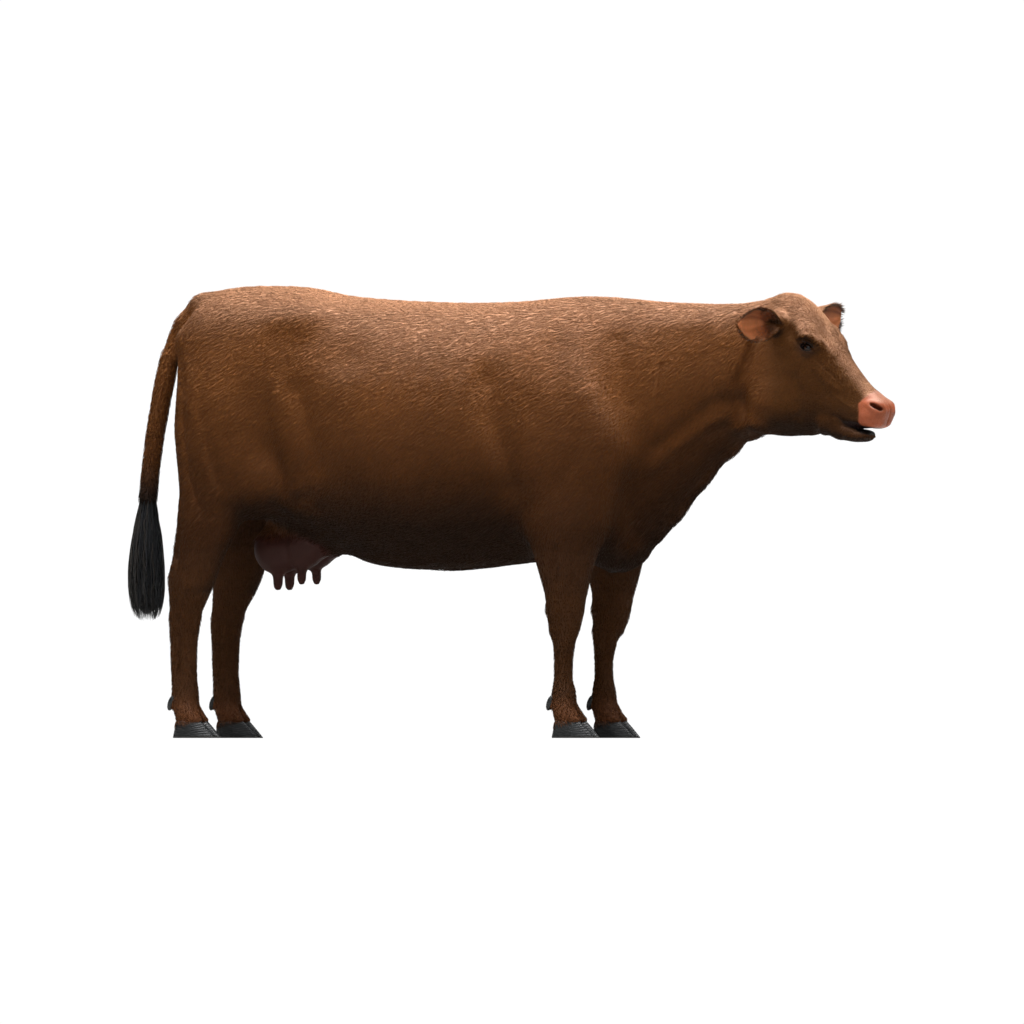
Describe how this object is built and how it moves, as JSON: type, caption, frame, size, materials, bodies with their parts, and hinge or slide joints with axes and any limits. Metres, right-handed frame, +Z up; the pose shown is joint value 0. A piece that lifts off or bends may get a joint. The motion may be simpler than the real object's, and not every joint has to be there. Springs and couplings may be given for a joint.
{
  "type": "standing cow model",
  "caption": "Life-size still model of a polled brown cow, standing square with its head up and mouth a little open.",
  "frame": {"origin": "on the floor, under the middle of the cow's bounding box", "axes": "+X towards the nose, +Y towards the cow's left side, +Z up"},
  "size_m": [2.5484, 0.6996, 1.401],
  "materials": {
    "coat": "short brown hair",
    "nose": "moist bare skin",
    "hoof": "dark horn, satin",
    "eye": "wet gloss",
    "switch": "long black hair",
    "udder": "bare skin, satin"
  },
  "bodies": {
    "root": {"ear_left": "coat", "ear_right": "coat", "eye_left": "eye", "eye_right": "eye", "foreleg_left_claw_inner": "hoof", "foreleg_left_claw_outer": "hoof", "foreleg_left_dewclaw_inner": "hoof", "foreleg_left_dewclaw_outer": "hoof", "foreleg_left_lower": "coat", "foreleg_left_upper": "coat", "foreleg_right_claw_inner": "hoof", "foreleg_right_claw_outer": "hoof", "foreleg_right_dewclaw_inner": "hoof", "foreleg_right_dewclaw_outer": "hoof", "foreleg_right_lower": "coat", "foreleg_right_upper": "coat", "head": "coat", "hindleg_left_claw_inner": "hoof", "hindleg_left_claw_outer": "hoof", "hindleg_left_dewclaw_inner": "hoof", "hindleg_left_dewclaw_outer": "hoof", "hindleg_left_lower": "coat", "hindleg_left_upper": "coat", "hindleg_right_claw_inner": "hoof", "hindleg_right_claw_outer": "hoof", "hindleg_right_dewclaw_inner": "hoof", "hindleg_right_dewclaw_outer": "hoof", "hindleg_right_lower": "coat", "hindleg_right_upper": "coat", "lower_jaw": "coat", "muzzle": "nose", "neck": "coat", "tail_lower": "coat", "tail_switch": "switch", "tail_upper": "coat", "teat_fore_left": "udder", "teat_fore_right": "udder", "teat_hind_left": "udder", "teat_hind_right": "udder", "trunk": "coat", "udder": "udder"}
  },
  "joints": []
}
